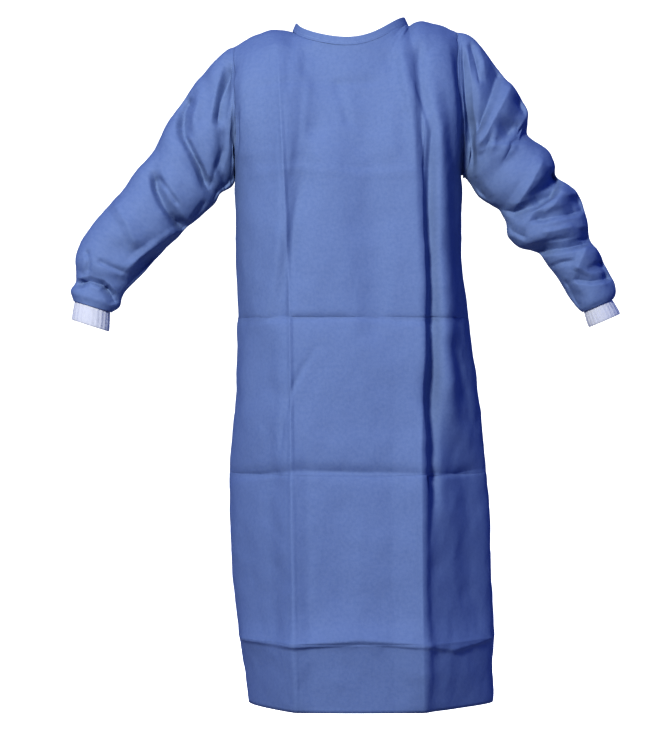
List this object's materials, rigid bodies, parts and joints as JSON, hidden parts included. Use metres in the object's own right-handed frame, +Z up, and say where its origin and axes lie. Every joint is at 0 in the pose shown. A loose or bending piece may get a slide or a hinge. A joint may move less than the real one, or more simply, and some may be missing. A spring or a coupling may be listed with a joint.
{
  "type": "disposable isolation gown",
  "caption": "Long-sleeved wrap-back gown of thin nonwoven cloth with knit cuffs, a neck band, a neck tab and waist ties, hanging as worn.",
  "frame": {"origin": "middle of the neck, level with the shoulders, where the wearer carries the gown", "axes": "+Z up, the front of the gown faces -Y, the wearer's left is +X"},
  "size_m": [0.955, 0.3343, 1.1966],
  "materials": {
    "gown_cloth": "soft sheen",
    "knit": "matte",
    "touch_tape": "matte"
  },
  "bodies": {
    "root": {"front": "gown_cloth", "back_left": "gown_cloth", "back_right": "gown_cloth", "sleeve_left": "gown_cloth", "sleeve_right": "gown_cloth", "cuff_left": "knit", "cuff_right": "knit", "neck_binding": "gown_cloth", "neck_tab": "touch_tape", "waist_tie_left": "gown_cloth", "waist_tie_right": "gown_cloth", "waist_knot": "gown_cloth", "tie_tail_left": "gown_cloth", "tie_tail_right": "gown_cloth"}
  },
  "joints": []
}
